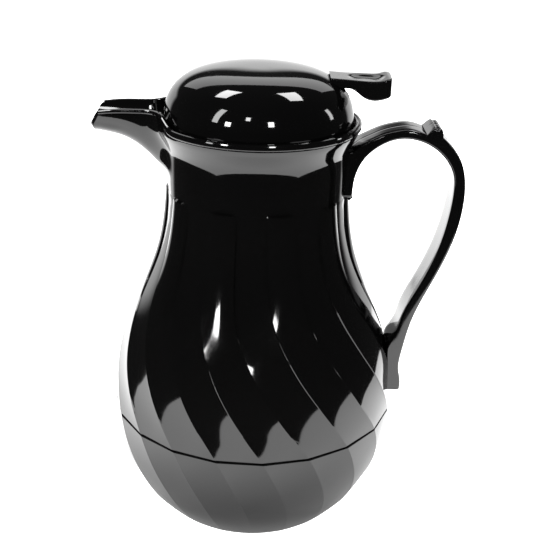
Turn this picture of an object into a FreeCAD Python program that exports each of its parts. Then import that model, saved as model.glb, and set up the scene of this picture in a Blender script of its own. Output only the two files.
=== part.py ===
import FreeCAD, Part
import math
import os

# Insulated pouring jug with a swirl-fluted body, a beak spout, a strap handle
# and a domed lid whose thumb lever lifts a spring-closed valve.
# Millimetres, +Z up, origin on the body's axis at the face it stands on.
# The spout points to -X and the handle to +X.

V = FreeCAD.Vector
UP = V(0, 0, 1)
ALONG_Y = V(0, 1, 0)
ALONG_X = V(1, 0, 0)

# ---- driving dimensions -------------------------------------------------
SEAM_Z = 72.0              # joint between the upper shell and the lower bowl
RIM_Z = 238.3              # top of the rim bead
DOME_TOP = 264.6
SHELL_WALL = 2.4
FLUTES = 10
FLUTE_DEPTH = 1.7
FLUTE_START = -21.0        # degrees from the front to a flute's crown at the neck
SWIRL = 52.0               # degrees that a flute turns from the neck to the foot

# body outline over the flutes' crowns: height, radius
BOWL_OUTLINE = [(1.0, 38.0), (2.8, 45.4), (7.2, 51.7), (13.7, 58.4), (22.3, 65.3),
                (33.2, 71.7), (45.0, 76.4), (58.0, 79.4), (SEAM_Z - 0.4, 80.3)]
UPPER_OUTLINE = [(SEAM_Z + 0.4, 80.3), (87.0, 79.7), (102.0, 77.7), (117.0, 73.6),
                 (132.0, 68.1), (147.5, 61.6), (163.0, 55.6), (180.0, 51.5),
                 (199.0, 49.4), (218.0, 48.6), (230.0, 48.6)]

NECK_R = 48.6
NECK_BORE = 46.0
BEAD_R = 52.8
BORE_TOP = 196.0           # where the belly's inside meets the straight neck bore
LID_SEAT_R = 50.3          # recess in the rim that the dome drops into
LID_SEAT_Z = 233.5
DOME_R = 49.9
DOME_WALL = 2.4
DOME_POWER = 3.2

LINER_MOUTH_R = 40.2       # inner radius of the liner's neck
LINER_WALL = 0.8
LINER_TOP = 203.0
LINER_WELD_Z = 172.0       # weld between the liner's spun belly and its drawn neck
LINER_OUTLINE = [(14.5, 20.0), (15.5, 34.0), (20.0, 45.0), (28.0, 54.0), (42.0, 62.0),
                 (58.0, 66.0), (75.0, 67.2), (95.0, 66.2), (115.0, 62.0), (135.0, 54.5),
                 (155.0, 46.5), (175.0, 41.8), (190.0, LINER_MOUTH_R)]

COLLAR_R_IN = 41.2
COLLAR_Z = (204.0, 226.0)

PLUG_R = 38.5
PLUG_WALL = 2.5
PLUG_FLOOR = (195.0, 198.0)
DECK_Z = (236.0, 238.5)
DECK_R = 47.0
PORT_R = 11.0

PIN_X = 30.0               # lever hinge
PIN_Z = 250.0
PIN_R = 1.5
HUB_R = 4.5
EAR_Y = (10.1, 12.6)
RUNNING = 0.06             # radial clearance of a part that turns or slides

STEM_R = 2.5
STEM_TOP = 255.2
SPRING_SEAT = 204.2
HEAD_Z = 252.55            # underside of the nut that the lever's fork lifts
FORK_TIP_R = 2.2
PAD_X = 51.6               # where the arm widens into the thumb pad

STRAP_W = 22.0             # width of the handle strap and of the lever pad
HANDLE_SCREW_R = 1.3
HANDLE_HEAD_R = 2.6

SCREW_PCD_R = 42.5
SCREW_R = 1.5

SPOUT_W = 25.0
SPOUT_WALL = 2.2
SPOUT_LIP_Z = 243.6
# spout stations: distance out from the axis, height of the underside
SPOUT_KEEL = [(44.0, 196.0), (52.0, 206.0), (58.0, 215.0), (66.0, 222.6), (76.0, 227.6), (83.0, 228.6)]
TROUGH_Z = 229.5           # floor of the pouring trough


# ---- helpers ------------------------------------------------------------
def spline(points):
    curve = Part.BSplineCurve()
    curve.interpolate(points)
    return curve.toShape()


def line(a, b):
    return Part.LineSegment(a, b).toShape()


def turned(edges):
    """Closed profile in the XZ plane turned once round Z."""
    wire = Part.Wire(Part.__sortEdges__(edges))
    return Part.Face(wire).revolve(V(0, 0, 0), UP, 360)


def turned_polygon(pairs):
    """Turned solid from (radius, height) corners."""
    points = [V(r, 0, z) for r, z in pairs]
    points.append(points[0])
    return Part.Face(Part.makePolygon(points)).revolve(V(0, 0, 0), UP, 360)


def ring(r_in, r_out, z0, z1):
    return turned_polygon([(r_in, z0), (r_out, z0), (r_out, z1), (r_in, z1)])


def rod(r, z0, z1, x=0.0, y=0.0):
    return Part.makeCylinder(r, z1 - z0, V(x, y, z0), UP)


def cross_rod(r, y0, y1, x, z):
    return Part.makeCylinder(r, y1 - y0, V(x, y0, z), ALONG_Y)


def block(x0, x1, y0, y1, z0, z1):
    return Part.makeBox(x1 - x0, y1 - y0, z1 - z0, V(x0, y0, z0))


def filled_turn(outline, inset, z_low, z_high):
    """Solid of revolution under an outline drawn in by inset, cut at two heights."""
    points = [V(r - inset, 0, z) for z, r in outline]
    first, last = points[0], points[-1]
    edges = [spline(points)]
    edges.append(line(V(0, 0, first.z), first))
    edges.append(line(last, V(0, 0, last.z)))
    edges.append(line(V(0, 0, last.z), V(0, 0, first.z)))
    solid = turned(edges)
    size = 400
    return solid.common(block(-size, size, -size, size, z_low, z_high))


def export(node, shape):
    shape.exportStep("parts/" + node + ".step")
    print(node, "valid", shape.isValid(), "solids", len(shape.Solids), "volume", round(shape.Volume))


# ---- body shells --------------------------------------------------------
def swirl_angle(z):
    """Degrees a flute has turned at height z: none at the neck, most over the belly."""
    t = 1.0 / (1.0 + math.exp((z - 92.0) / 19.0))
    return SWIRL * t


def flute_depth(z):
    """Flutes fade in below the neck and fade out towards the foot."""
    neck = min(1.0, max(0.0, (205.0 - z) / 30.0))
    foot = min(1.0, max(0.0, (z - 1.0) / 20.0))
    return FLUTE_DEPTH * neck * foot


def fluted_section(z, radius):
    count = FLUTES * 8
    points = []
    for i in range(count):
        turn = 2 * math.pi * i / count
        phase = FLUTES * (turn - math.radians(FLUTE_START + swirl_angle(z)))
        r = radius - flute_depth(z) * (1 - math.cos(phase)) / 2
        points.append(V(r * math.sin(turn), -r * math.cos(turn), z))
    curve = Part.BSplineCurve()
    curve.interpolate(points, PeriodicFlag=True)
    return Part.Wire(curve.toShape())


def fluted_solid(outline):
    return Part.makeLoft([fluted_section(z, r) for z, r in outline], True, False)


def lower_bowl():
    outer = fluted_solid(BOWL_OUTLINE)
    floor = 4.0
    inner_line = [(floor, 34.0)] + BOWL_OUTLINE[2:]
    points = [V(r - SHELL_WALL - FLUTE_DEPTH, 0, z) for z, r in inner_line[1:]]
    points[-1].z = SEAM_Z + 1
    foot = V(30.0, 0, floor)
    edges = [spline([foot] + points), line(V(0, 0, floor), foot)]
    edges.append(line(points[-1], V(0, 0, SEAM_Z + 1)))
    edges.append(line(V(0, 0, SEAM_Z + 1), V(0, 0, floor)))
    bowl = outer.cut(turned(edges))
    pad_recess = rod(36.2, 0.0, 1.6)
    return bowl.cut(pad_recess).cut(rod(8.0, 0.0, floor + 1))


def spout_section(x, keel_z, inset, lip_z):
    """U section of the beak: level lip, upright sides, round keel."""
    half = SPOUT_W / 2 - inset
    bottom = keel_z + inset
    turn_z = min(lip_z - 1.0, bottom + half)
    side = V(-x, half, turn_z)
    other = V(-x, -half, turn_z)
    top = V(-x, half, lip_z)
    far_top = V(-x, -half, lip_z)
    keel = Part.Arc(side, V(-x, 0, bottom), other).toShape()
    return Part.Wire([line(top, side), keel, line(other, far_top), line(far_top, top)])


def spout_outer():
    body = Part.makeLoft([spout_section(x, z, 0.0, SPOUT_LIP_Z) for x, z in SPOUT_KEEL], True, False)
    nose = Part.makeLoft([spout_section(83.0, 228.6, 0.0, SPOUT_LIP_Z),
                          spout_section(86.6, 231.0, 1.2, SPOUT_LIP_Z - 6.0)], True, True)
    return body.fuse(nose)


def spout_trough():
    stations = [(40.0, TROUGH_Z - 2.2), (66.0, TROUGH_Z - 2.2), (84.0, TROUGH_Z + 0.6)]
    body = Part.makeLoft([spout_section(x, z, SPOUT_WALL, SPOUT_LIP_Z + 4.0) for x, z in stations],
                         True, True)
    return body


def upper_shell():
    outer = fluted_solid(UPPER_OUTLINE)
    flare = turned_polygon([(0, 226.0), (NECK_R, 226.0), (BEAD_R - 0.8, 232.4), (BEAD_R, 233.2),
                            (BEAD_R, 237.2), (BEAD_R - 1.1, RIM_Z), (0, RIM_Z)])
    shell = outer.fuse(flare).fuse(spout_outer())
    inset = SHELL_WALL + FLUTE_DEPTH
    points = [V(r - inset, 0, z) for z, r in UPPER_OUTLINE if z < BORE_TOP - 10.0]
    points[0].z = SEAM_Z
    points.append(V(NECK_BORE, 0, BORE_TOP))
    edges = [spline(points), line(V(0, 0, SEAM_Z), points[0])]
    edges.append(line(points[-1], V(0, 0, BORE_TOP)))
    edges.append(line(V(0, 0, BORE_TOP), V(0, 0, SEAM_Z)))
    shell = shell.cut(turned(edges))
    bore = rod(NECK_BORE, BORE_TOP - 0.1, 260.0)
    bore.rotate(V(0, 0, 0), UP, 90)        # keeps the cylinder's seam line off the screw holes
    shell = shell.cut(bore)
    shell = shell.cut(rod(LID_SEAT_R, LID_SEAT_Z, 260.0))
    shell = shell.cut(spout_trough())
    for place, length in handle_screw_places():
        shell = shell.cut(Part.makeCylinder(HANDLE_SCREW_R, length, place, ALONG_X))
    return shell


def seam_gasket():
    return ring(76.4, 78.2, SEAM_Z - 0.4, SEAM_Z + 0.4)


# ---- liner and insulation -----------------------------------------------
def liner_envelope(grow, top):
    points = [V(r + grow, 0, z) for z, r in LINER_OUTLINE[1:]]
    foot = V(LINER_OUTLINE[0][1], 0, LINER_OUTLINE[0][0] - grow)
    neck = V(LINER_MOUTH_R + grow, 0, top)
    edges = [spline([foot] + points), line(points[-1], neck)]
    edges.append(line(V(0, 0, foot.z), foot))
    edges.append(line(neck, V(0, 0, top)))
    edges.append(line(V(0, 0, top), V(0, 0, foot.z)))
    return turned(edges)


def liner_skin():
    return liner_envelope(LINER_WALL, LINER_TOP).cut(liner_envelope(0.0, LINER_TOP + 1))


def inner_liner():
    """Spun belly of the liner, up to the weld."""
    return liner_skin().common(ring(0.0, 90.0, 0.0, LINER_WELD_Z))


def liner_neck():
    """Drawn neck of the liner with its turned-out lip, butt-welded to the belly."""
    tube = liner_skin().common(ring(0.0, 90.0, LINER_WELD_Z, LINER_TOP + 1))
    return tube.fuse(ring(LINER_MOUTH_R, 45.0, LINER_TOP - LINER_WALL, LINER_TOP))


def foam_insulation():
    inset = SHELL_WALL + FLUTE_DEPTH + 0.3
    low = [V(r - inset, 0, z) for z, r in BOWL_OUTLINE[2:-1]]
    belly = [V(r - inset, 0, z) for z, r in UPPER_OUTLINE[1:] if z < BORE_TOP - 10.0]
    neck = V(NECK_BORE - 0.3, 0, BORE_TOP)
    foot = V(29.5, 0, 4.4)
    top = V(NECK_BORE - 0.3, 0, LINER_TOP - LINER_WALL - 0.2)
    edges = [spline([foot] + low + belly + [neck]), line(neck, top)]
    edges.append(line(V(0, 0, foot.z), foot))
    edges.append(line(top, V(0, 0, top.z)))
    edges.append(line(V(0, 0, top.z), V(0, 0, foot.z)))
    jacket = turned(edges)
    jacket = jacket.cut(liner_envelope(LINER_WALL + 0.1, LINER_TOP + 1))
    place = handle_screw_places()[-1][0]
    return jacket.cut(Part.makeCylinder(HANDLE_HEAD_R + 0.1, 3.0, place - V(1.2, 0, 0), ALONG_X))


def liner_gasket():
    return ring(LINER_MOUTH_R + 0.4, 44.8, LINER_TOP, COLLAR_Z[0])


def neck_collar():
    """Ring moulded to grip the liner's lip, with a chamfered mouth for the lid's seal."""
    low, high = COLLAR_Z
    outer = NECK_BORE - 0.05
    collar = turned_polygon([(COLLAR_R_IN, low), (outer, low), (outer, high), (COLLAR_R_IN + 1.6, high),
                             (COLLAR_R_IN, high - 3.0)])
    collar.rotate(V(0, 0, 0), UP, 90)
    for place, length in handle_screw_places()[:-1]:
        relief = Part.makeCylinder(HANDLE_HEAD_R + 0.2, 6.0, place - V(1.2, 0, 0), ALONG_X)
        collar = collar.cut(relief)
    return collar


def base_pad():
    return rod(36.0, 0.0, 1.6)


def fill_plug():
    """Push-in plug over the hole that the foam was poured through."""
    return rod(7.9, 1.6, 4.2).fuse(rod(6.4, 4.2, 4.4))


# ---- handle -------------------------------------------------------------
def handle_screw_places():
    """Head seat and shank length of each handle screw, driven outwards from inside."""
    return [(V(NECK_BORE, 0, 207.0), 4.6), (V(NECK_BORE, 0, 218.0), 4.6), (V(75.0, 0, 92.0), 8.0)]


def body_envelope(grow):
    """Round solid just outside the flutes, for seating the handle on the body."""
    outline = [(z, r + grow) for z, r in BOWL_OUTLINE[:-1] + UPPER_OUTLINE]
    outline[8] = (SEAM_Z, 80.3 + grow)
    return filled_turn(outline, 0.0, 0.0, 229.0)


def handle_blank():
    """Strap drawn in side view: arch under the rim, thumb rest, long reverse curve."""
    top = [(50.0, 223.0), (58.4, 228.8), (69.8, 233.9), (77.7, 235.2), (85.6, 234.6), (90.0, 233.4)]
    rest = [(90.0, 233.4), (93.2, 237.0), (96.6, 236.6), (98.2, 232.4)]
    back = [(98.2, 232.4), (104.4, 225.3), (110.2, 214.4), (112.4, 198.0), (108.9, 174.1),
            (99.9, 150.1), (89.6, 125.1), (85.2, 105.0), (84.2, 93.0), (86.0, 84.0), (85.4, 80.4)]
    foot = [(85.4, 80.4), (76.0, 80.4), (76.0, 110.0)]
    front = [(76.0, 110.0), (81.0, 117.0), (83.4, 128.0), (90.8, 143.8), (100.6, 168.0), (105.9, 192.0),
             (106.0, 206.0), (101.2, 218.6), (91.5, 227.2), (78.5, 230.2), (65.0, 226.2),
             (56.4, 218.0), (52.4, 209.0), (51.4, 197.2)]
    tang = [(51.4, 197.2), (47.0, 197.2), (47.0, 223.0), (50.0, 223.0)]
    edges = []
    for run in (top, rest, back, front):
        edges.append(spline([V(x, 0, z) for x, z in run]))
    for run in (foot, tang):
        for a, b in zip(run, run[1:]):
            edges.append(line(V(a[0], 0, a[1]), V(b[0], 0, b[1])))
    face = Part.Face(Part.Wire(Part.__sortEdges__(edges)))
    face.translate(V(0, -STRAP_W / 2, 0))
    return face.extrude(V(0, STRAP_W, 0))


def handle():
    seated = handle_blank().cut(body_envelope(0.1))
    pocket = block(74.0, 80.4, -6.0, 6.0, 101.0, 109.0)
    shape = seated.cut(pocket)
    for place, length in handle_screw_places():
        shape = shape.cut(Part.makeCylinder(HANDLE_SCREW_R, length, place, ALONG_X))
    return max(shape.Solids, key=lambda s: s.Volume)


def handle_foot_bracket():
    """Block on the shell that the handle's foot hooks over."""
    post = block(74.0, 80.2, -5.8, 5.8, 101.2, 108.8)
    return post.cut(body_envelope(0.1))


def handle_tang_clip():
    """Small clip that traps the end of the tang against the neck."""
    clip = block(47.0, 52.2, -6.0, 6.0, 190.0, 197.0)
    return clip.cut(body_envelope(0.1))


def handle_screws():
    """Two through the neck wall into the tang and one through the shell into the foot."""
    screws = []
    for place, length in handle_screw_places():
        shank = Part.makeCylinder(HANDLE_SCREW_R, length, place, ALONG_X)
        head = Part.makeCylinder(HANDLE_HEAD_R, 1.0, place - V(1.0, 0, 0), ALONG_X)
        screws.append(shank.fuse(head))
    return screws


# ---- lid ----------------------------------------------------------------
def dome_solid(inset, base_z, top):
    """Boxy dome: a superellipse quarter turned round Z."""
    centre_z = 229.3
    height = top - centre_z
    radius = DOME_R - inset
    steps = 14
    start = math.asin(min(1.0, ((base_z - centre_z) / height) ** (DOME_POWER / 2)))
    points = []
    for i in range(steps):
        t = start + (math.pi / 2 - start) * i / (steps - 1)
        r = radius * max(0.0, math.cos(t)) ** (2 / DOME_POWER)
        z = centre_z + height * math.sin(t) ** (2 / DOME_POWER)
        points.append(V(r, 0, z))
    points[-1] = V(0, 0, top)
    curve = Part.BSplineCurve()
    curve.interpolate(points)
    edges = [curve.toShape(), line(V(0, 0, base_z), points[0])]
    edges.append(line(points[-1], V(0, 0, base_z)))
    return turned(edges)


def screw_places():
    for i in range(4):
        turn = math.radians(45 + 90 * i)
        yield SCREW_PCD_R * math.cos(turn), SCREW_PCD_R * math.sin(turn)


def lid_dome():
    base = LID_SEAT_Z + 0.4
    outer = dome_solid(0.0, base, DOME_TOP)
    shell = outer.cut(dome_solid(DOME_WALL, base, DOME_TOP - DOME_WALL))
    shell = shell.cut(rod(DOME_R - DOME_WALL, base - 1, DECK_Z[1] + 1))
    for x, y in screw_places():
        post = rod(3.4, DECK_Z[1], DOME_TOP, x, y).common(outer)
        shell = shell.fuse(post)
    slot = block(36.6, 60.0, -10.4, 10.4, 251.4, DOME_TOP + 2)
    shell = shell.cut(slot)
    for x, y in screw_places():
        shell = shell.cut(rod(SCREW_R, DECK_Z[1] - 1, 247.0, x, y))
    return shell


def lid_plug():
    """Cup that hangs in the neck: wall with two seal ribs, and a floor with the valve port."""
    floor_low, floor_high = PLUG_FLOOR
    cup = ring(PLUG_R - PLUG_WALL, PLUG_R, floor_low, DECK_Z[0])
    cup = cup.fuse(ring(PORT_R, PLUG_R, floor_low, floor_high))
    for z in (207.6, 214.4):
        cup = cup.fuse(ring(PLUG_R - 0.5, 40.4, z, z + 1.6))
    window = block(-PLUG_R - 2, -PLUG_R + 8, -12.0, 12.0, 226.5, 234.5)
    return cup.cut(window)


def lid_deck():
    """Disc welded on the cup, with two ears for the lever's pin."""
    deck_low, deck_high = DECK_Z
    deck = ring(3.4, DECK_R, deck_low, deck_high)
    for side in (-1, 1):
        near, far = EAR_Y
        y0 = min(side * near, side * far)
        ear = block(PIN_X - 5.0, PIN_X + 4.0, y0, y0 + far - near, deck_high - 0.5, PIN_Z)
        crown = cross_rod(4.5, y0, y0 + far - near, PIN_X - 0.5, PIN_Z)
        deck = deck.fuse(ear.fuse(crown))
    deck = deck.cut(cross_rod(PIN_R, -20, 20, PIN_X, PIN_Z))
    for x, y in screw_places():
        deck = deck.cut(rod(SCREW_R + 0.3, deck_low - 1, deck_high + 1, x, y))
    return deck


def dome_screws():
    screws = []
    for x, y in screw_places():
        shank = rod(SCREW_R, DECK_Z[0], 246.0, x, y)
        head = rod(2.8, DECK_Z[0] - 2.0, DECK_Z[0], x, y)
        screws.append(shank.fuse(head))
    return screws


def lid_gasket():
    """Silicone ring with a rounded lip, carried in the groove round the plug."""
    r_in = PLUG_R + 0.2
    edge = COLLAR_R_IN - 0.3
    return turned_polygon([(r_in, 209.5), (edge - 0.8, 209.5), (edge, 210.6), (edge, 212.8),
                           (edge - 0.8, 214.1), (r_in, 214.1)])


def lever_pin():
    return cross_rod(PIN_R, -EAR_Y[1] - 0.8, EAR_Y[1] + 0.8, PIN_X, PIN_Z)


# ---- lever --------------------------------------------------------------
def thumb_lever():
    """Pad and arm outside the dome, hub on the pin, two-pronged fork at the stem."""
    upper = [(37.3, 261.9), (44.0, 261.4), (52.0, 261.0), (59.5, 260.6), (65.0, 261.6), (68.0, 263.2)]
    nose = [(68.0, 263.2), (69.2, 259.0), (68.6, 253.8)]
    under = [(68.6, 253.8), (64.0, 252.2), (59.2, 251.4), (55.6, 252.6), (51.6, 256.0), (44.0, 256.4)]
    inner = [(44.0, 256.4), (41.0, 254.6), (38.0, 251.4), (32.0, PIN_Z - HUB_R + 0.6), (27.0, PIN_Z + 2.0),
             (30.0, 253.9), (37.0, 254.6), (37.3, 261.9)]
    edges = []
    for run in (upper, nose, under):
        edges.append(spline([V(x, 0, z) for x, z in run]))
    for a, b in zip(inner, inner[1:]):
        edges.append(line(V(a[0], 0, a[1]), V(b[0], 0, b[1])))
    face = Part.Face(Part.Wire(Part.__sortEdges__(edges)))
    half_arm = 9.7
    face.translate(V(0, -STRAP_W / 2, 0))
    pad = face.extrude(V(0, STRAP_W, 0))
    lever = pad.cut(block(0, PAD_X, -20, -half_arm, 240, 270))
    lever = lever.cut(block(0, PAD_X, half_arm, 20, 240, 270))
    lever = lever.fuse(cross_rod(HUB_R, -half_arm, half_arm, PIN_X, PIN_Z))
    for side in (-1, 1):
        y0 = min(side * 3.6, side * 6.8)
        prong = block(0.0, PIN_X, y0, y0 + 3.2, PIN_Z - FORK_TIP_R, PIN_Z + FORK_TIP_R)
        tip = cross_rod(FORK_TIP_R, y0, y0 + 3.2, 0.0, PIN_Z)
        lever = lever.fuse(prong.fuse(tip))
    return lever.cut(cross_rod(PIN_R + RUNNING, -20, 20, PIN_X, PIN_Z))


# ---- valve --------------------------------------------------------------
def stem_bush():
    """Guide pressed into the deck; the stem slides in it."""
    body = ring(STEM_R + RUNNING, 3.4, DECK_Z[0] - 0.5, DECK_Z[1] + 1.5)
    flange = ring(STEM_R + RUNNING, 5.0, DECK_Z[1], DECK_Z[1] + 1.5)
    return body.fuse(flange)


def valve_stem():
    return rod(STEM_R, 200.0, STEM_TOP)


def valve_disc():
    disc = turned_polygon([(STEM_R, 200.0), (15.0, 200.0), (15.0, 201.4), (13.0, 203.0), (STEM_R, 203.0)])
    return disc


def valve_seal():
    return rod(14.0, PLUG_FLOOR[1] + 0.3, 200.0)


def spring_cup():
    return ring(STEM_R + 0.02, 9.2, 203.0, SPRING_SEAT).fuse(ring(8.6, 9.2, SPRING_SEAT, 206.0))


def stem_nut():
    body = ring(STEM_R, 7.0, HEAD_Z, HEAD_Z + 2.4)
    return body


def valve_spring():
    """Open coil between the deck and the cup on the valve disc, lofted round in short steps."""
    wire_r = 0.6
    coil_r = 6.6
    low = SPRING_SEAT + wire_r + 0.05
    high = DECK_Z[0] - 0.5 - wire_r - 0.05
    turns = 6
    steps = 16
    sides = 8
    count = turns * steps
    sections = []
    for i in range(count + 1):
        turn = 2 * math.pi * i / steps
        radial = V(math.cos(turn), math.sin(turn), 0)
        centre = radial * coil_r + V(0, 0, low + (high - low) * i / count)
        corners = []
        for k in range(sides):
            around = 2 * math.pi * k / sides
            corners.append(centre + radial * (wire_r * math.cos(around)) + UP * (wire_r * math.sin(around)))
        sections.append(Part.makePolygon(corners + corners[:1]))
    return Part.makeLoft(sections, True, True)


def group(shapes):
    return Part.makeCompound(shapes)


def main():
    os.makedirs("parts", exist_ok=True)
    export("upper_shell", upper_shell())
    export("lower_bowl", lower_bowl())
    export("seam_gasket", seam_gasket())
    export("inner_liner", inner_liner())
    export("liner_neck", liner_neck())
    export("foam_insulation", foam_insulation())
    export("liner_gasket", liner_gasket())
    export("neck_collar", neck_collar())
    export("base_pad", base_pad())
    export("fill_plug", fill_plug())
    export("handle", handle())
    export("handle_foot_bracket", handle_foot_bracket())
    export("handle_tang_clip", handle_tang_clip())
    export("handle_screws", group(handle_screws()))
    export("lid_dome", lid_dome())
    export("lid_plug", lid_plug())
    export("lid_deck", lid_deck())
    export("dome_screws", group(dome_screws()))
    export("lid_gasket", lid_gasket())
    export("lever_pin", lever_pin())
    export("thumb_lever", thumb_lever())
    export("stem_bush", stem_bush())
    export("valve_stem", valve_stem())
    export("valve_disc", valve_disc())
    export("valve_seal", valve_seal())
    export("spring_cup", spring_cup())
    export("stem_nut", stem_nut())
    export("valve_spring", valve_spring())


main()
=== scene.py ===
import bmesh
import bpy
import numpy as np
from math import asin, cos, pi, radians, sin
from mathutils import Matrix, Vector


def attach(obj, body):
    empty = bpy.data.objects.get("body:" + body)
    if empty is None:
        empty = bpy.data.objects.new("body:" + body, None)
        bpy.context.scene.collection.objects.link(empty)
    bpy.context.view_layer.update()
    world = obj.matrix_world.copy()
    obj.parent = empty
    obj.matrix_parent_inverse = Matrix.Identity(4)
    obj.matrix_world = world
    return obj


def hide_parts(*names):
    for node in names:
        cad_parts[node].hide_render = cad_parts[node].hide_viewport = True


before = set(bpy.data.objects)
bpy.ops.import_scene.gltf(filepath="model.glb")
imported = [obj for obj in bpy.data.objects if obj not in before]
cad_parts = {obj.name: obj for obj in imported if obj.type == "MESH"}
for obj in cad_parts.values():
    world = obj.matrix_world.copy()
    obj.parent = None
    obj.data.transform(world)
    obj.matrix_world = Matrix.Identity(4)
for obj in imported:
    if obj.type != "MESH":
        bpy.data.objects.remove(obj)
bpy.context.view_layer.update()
MM = 0.001                       # lengths below are in millimetres until a mesh is made

# ---- camera -------------------------------------------------------------
# A catalogue view: about 23 degrees above the table and square to the side of
# the jug, with the spout on the left. The lens and the slight roll are fixed.
eye = Vector((0.0, -561.6, 384.4)) * MM
aim = Vector((12.6, 0.0, 145.2)) * MM
lens_roll = radians(1.70)
camera_data = bpy.data.cameras.new("camera")
camera_data.lens = 69.67
camera_data.sensor_width = 36.0
camera = bpy.data.objects.new("camera", camera_data)
bpy.context.scene.collection.objects.link(camera)
look = (aim - eye).to_track_quat("-Z", "Y").to_matrix().to_4x4()
camera.matrix_world = Matrix.Translation(eye) @ look @ Matrix.Rotation(lens_roll, 4, "Z")
bpy.context.scene.camera = camera
bpy.context.scene.view_settings.view_transform = "Standard"


# ---- studio -------------------------------------------------------------
# A pale table and backdrop lit well past white, a dark room in front, and a few
# soft panes of light. The gloss black body shows them only as reflections.
def new_material(name):
    material = bpy.data.materials.new(name)
    material.use_nodes = True
    return material, material.node_tree.nodes, material.node_tree.links


def link_object(name, data):
    piece = bpy.data.objects.new(name, data)
    bpy.context.scene.collection.objects.link(piece)
    return piece


def paper_material():
    """Pale paper. In reflections it darkens towards the jug, as the jug's own shade would make it."""
    shade_from, shade_to = 0.04, 0.20      # metres from the jug's axis
    darkest, lit, seen_directly = 0.12, 2.1, 2.2
    material, nodes, links = new_material("table_paper")
    shader = nodes["Principled BSDF"]
    shader.inputs["Roughness"].default_value = 0.9
    shader.inputs["Base Color"].default_value = (0.86, 0.86, 0.86, 1.0)
    shader.inputs["Emission Color"].default_value = (1.0, 1.0, 1.0, 1.0)
    coords = nodes.new("ShaderNodeTexCoord")
    away = nodes.new("ShaderNodeVectorMath")
    away.operation = "LENGTH"
    links.new(coords.outputs["Object"], away.inputs[0])
    shade = nodes.new("ShaderNodeMapRange")
    shade.interpolation_type = "SMOOTHSTEP"
    shade.inputs["From Min"].default_value = shade_from
    shade.inputs["From Max"].default_value = shade_to
    shade.inputs["To Min"].default_value = darkest
    shade.inputs["To Max"].default_value = lit
    links.new(away.outputs["Value"], shade.inputs["Value"])
    path = nodes.new("ShaderNodeLightPath")
    level = nodes.new("ShaderNodeMix")
    links.new(path.outputs["Is Camera Ray"], level.inputs["Factor"])
    links.new(shade.outputs["Result"], level.inputs["A"])
    level.inputs["B"].default_value = seen_directly
    links.new(level.outputs["Result"], shader.inputs["Emission Strength"])
    grain = nodes.new("ShaderNodeTexNoise")
    grain.inputs["Scale"].default_value = 300.0
    bump = nodes.new("ShaderNodeBump")
    bump.inputs["Strength"].default_value = 0.05
    links.new(grain.outputs["Fac"], bump.inputs["Height"])
    links.new(bump.outputs["Normal"], shader.inputs["Normal"])
    return material


table_half, table_front, table_back = 0.36, -0.29, 1.2
table_corners = [(-table_half, table_front, 0), (table_half, table_front, 0), (table_half, table_back, 0),
                 (-table_half, table_back, 0)]
table_mesh = bpy.data.meshes.new("table")
table_mesh.from_pydata(table_corners, [], [(0, 1, 2, 3)])
table = link_object("table", table_mesh)
table_mesh.materials.append(paper_material())


def room_world():
    """White to the camera; in reflections a low bright backdrop behind the jug in a dark room."""
    backdrop_level, room_level = 1.7, 0.04
    world = bpy.data.worlds.new("room")
    world.use_nodes = True
    nodes, links = world.node_tree.nodes, world.node_tree.links
    seen = nodes["Background"]
    seen.inputs["Color"].default_value = (1.0, 1.0, 1.0, 1.0)
    seen.inputs["Strength"].default_value = 1.15
    around = nodes.new("ShaderNodeBackground")
    coords = nodes.new("ShaderNodeTexCoord")
    split = nodes.new("ShaderNodeSeparateXYZ")
    links.new(coords.outputs["Generated"], split.inputs["Vector"])
    behind = nodes.new("ShaderNodeMapRange")
    behind.interpolation_type = "SMOOTHSTEP"
    behind.inputs["From Min"].default_value = 0.62
    behind.inputs["From Max"].default_value = 0.74
    links.new(split.outputs["Y"], behind.inputs["Value"])
    low = nodes.new("ShaderNodeMapRange")
    low.interpolation_type = "SMOOTHSTEP"
    low.inputs["From Min"].default_value = 0.30
    low.inputs["From Max"].default_value = 0.20
    links.new(split.outputs["Z"], low.inputs["Value"])
    both = nodes.new("ShaderNodeMath")
    both.operation = "MULTIPLY"
    links.new(behind.outputs["Result"], both.inputs[0])
    links.new(low.outputs["Result"], both.inputs[1])
    level = nodes.new("ShaderNodeMath")
    level.operation = "MULTIPLY_ADD"
    links.new(both.outputs["Value"], level.inputs[0])
    level.inputs[1].default_value = backdrop_level
    level.inputs[2].default_value = room_level
    links.new(level.outputs["Value"], around.inputs["Strength"])
    path = nodes.new("ShaderNodeLightPath")
    choose = nodes.new("ShaderNodeMixShader")
    links.new(path.outputs["Is Camera Ray"], choose.inputs["Fac"])
    links.new(around.outputs["Background"], choose.inputs[1])
    links.new(seen.outputs["Background"], choose.inputs[2])
    links.new(choose.outputs["Shader"], nodes["World Output"].inputs["Surface"])
    return world


bpy.context.scene.world = room_world()


def pane(name, toward, distance, width, height, watts, at=(0.0, 0.0, 0.15)):
    """Rectangular soft light seen from the jug in the direction given; sizes in metres."""
    data = bpy.data.lights.new(name, "AREA")
    data.shape = "RECTANGLE"
    data.size = width
    data.size_y = height
    data.energy = watts
    light = link_object(name, data)
    place = Vector(at) + Vector(toward).normalized() * distance
    turn = (Vector(at) - place).to_track_quat("-Z", "Y")
    light.matrix_world = Matrix.Translation(place) @ turn.to_matrix().to_4x4()
    return light


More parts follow.
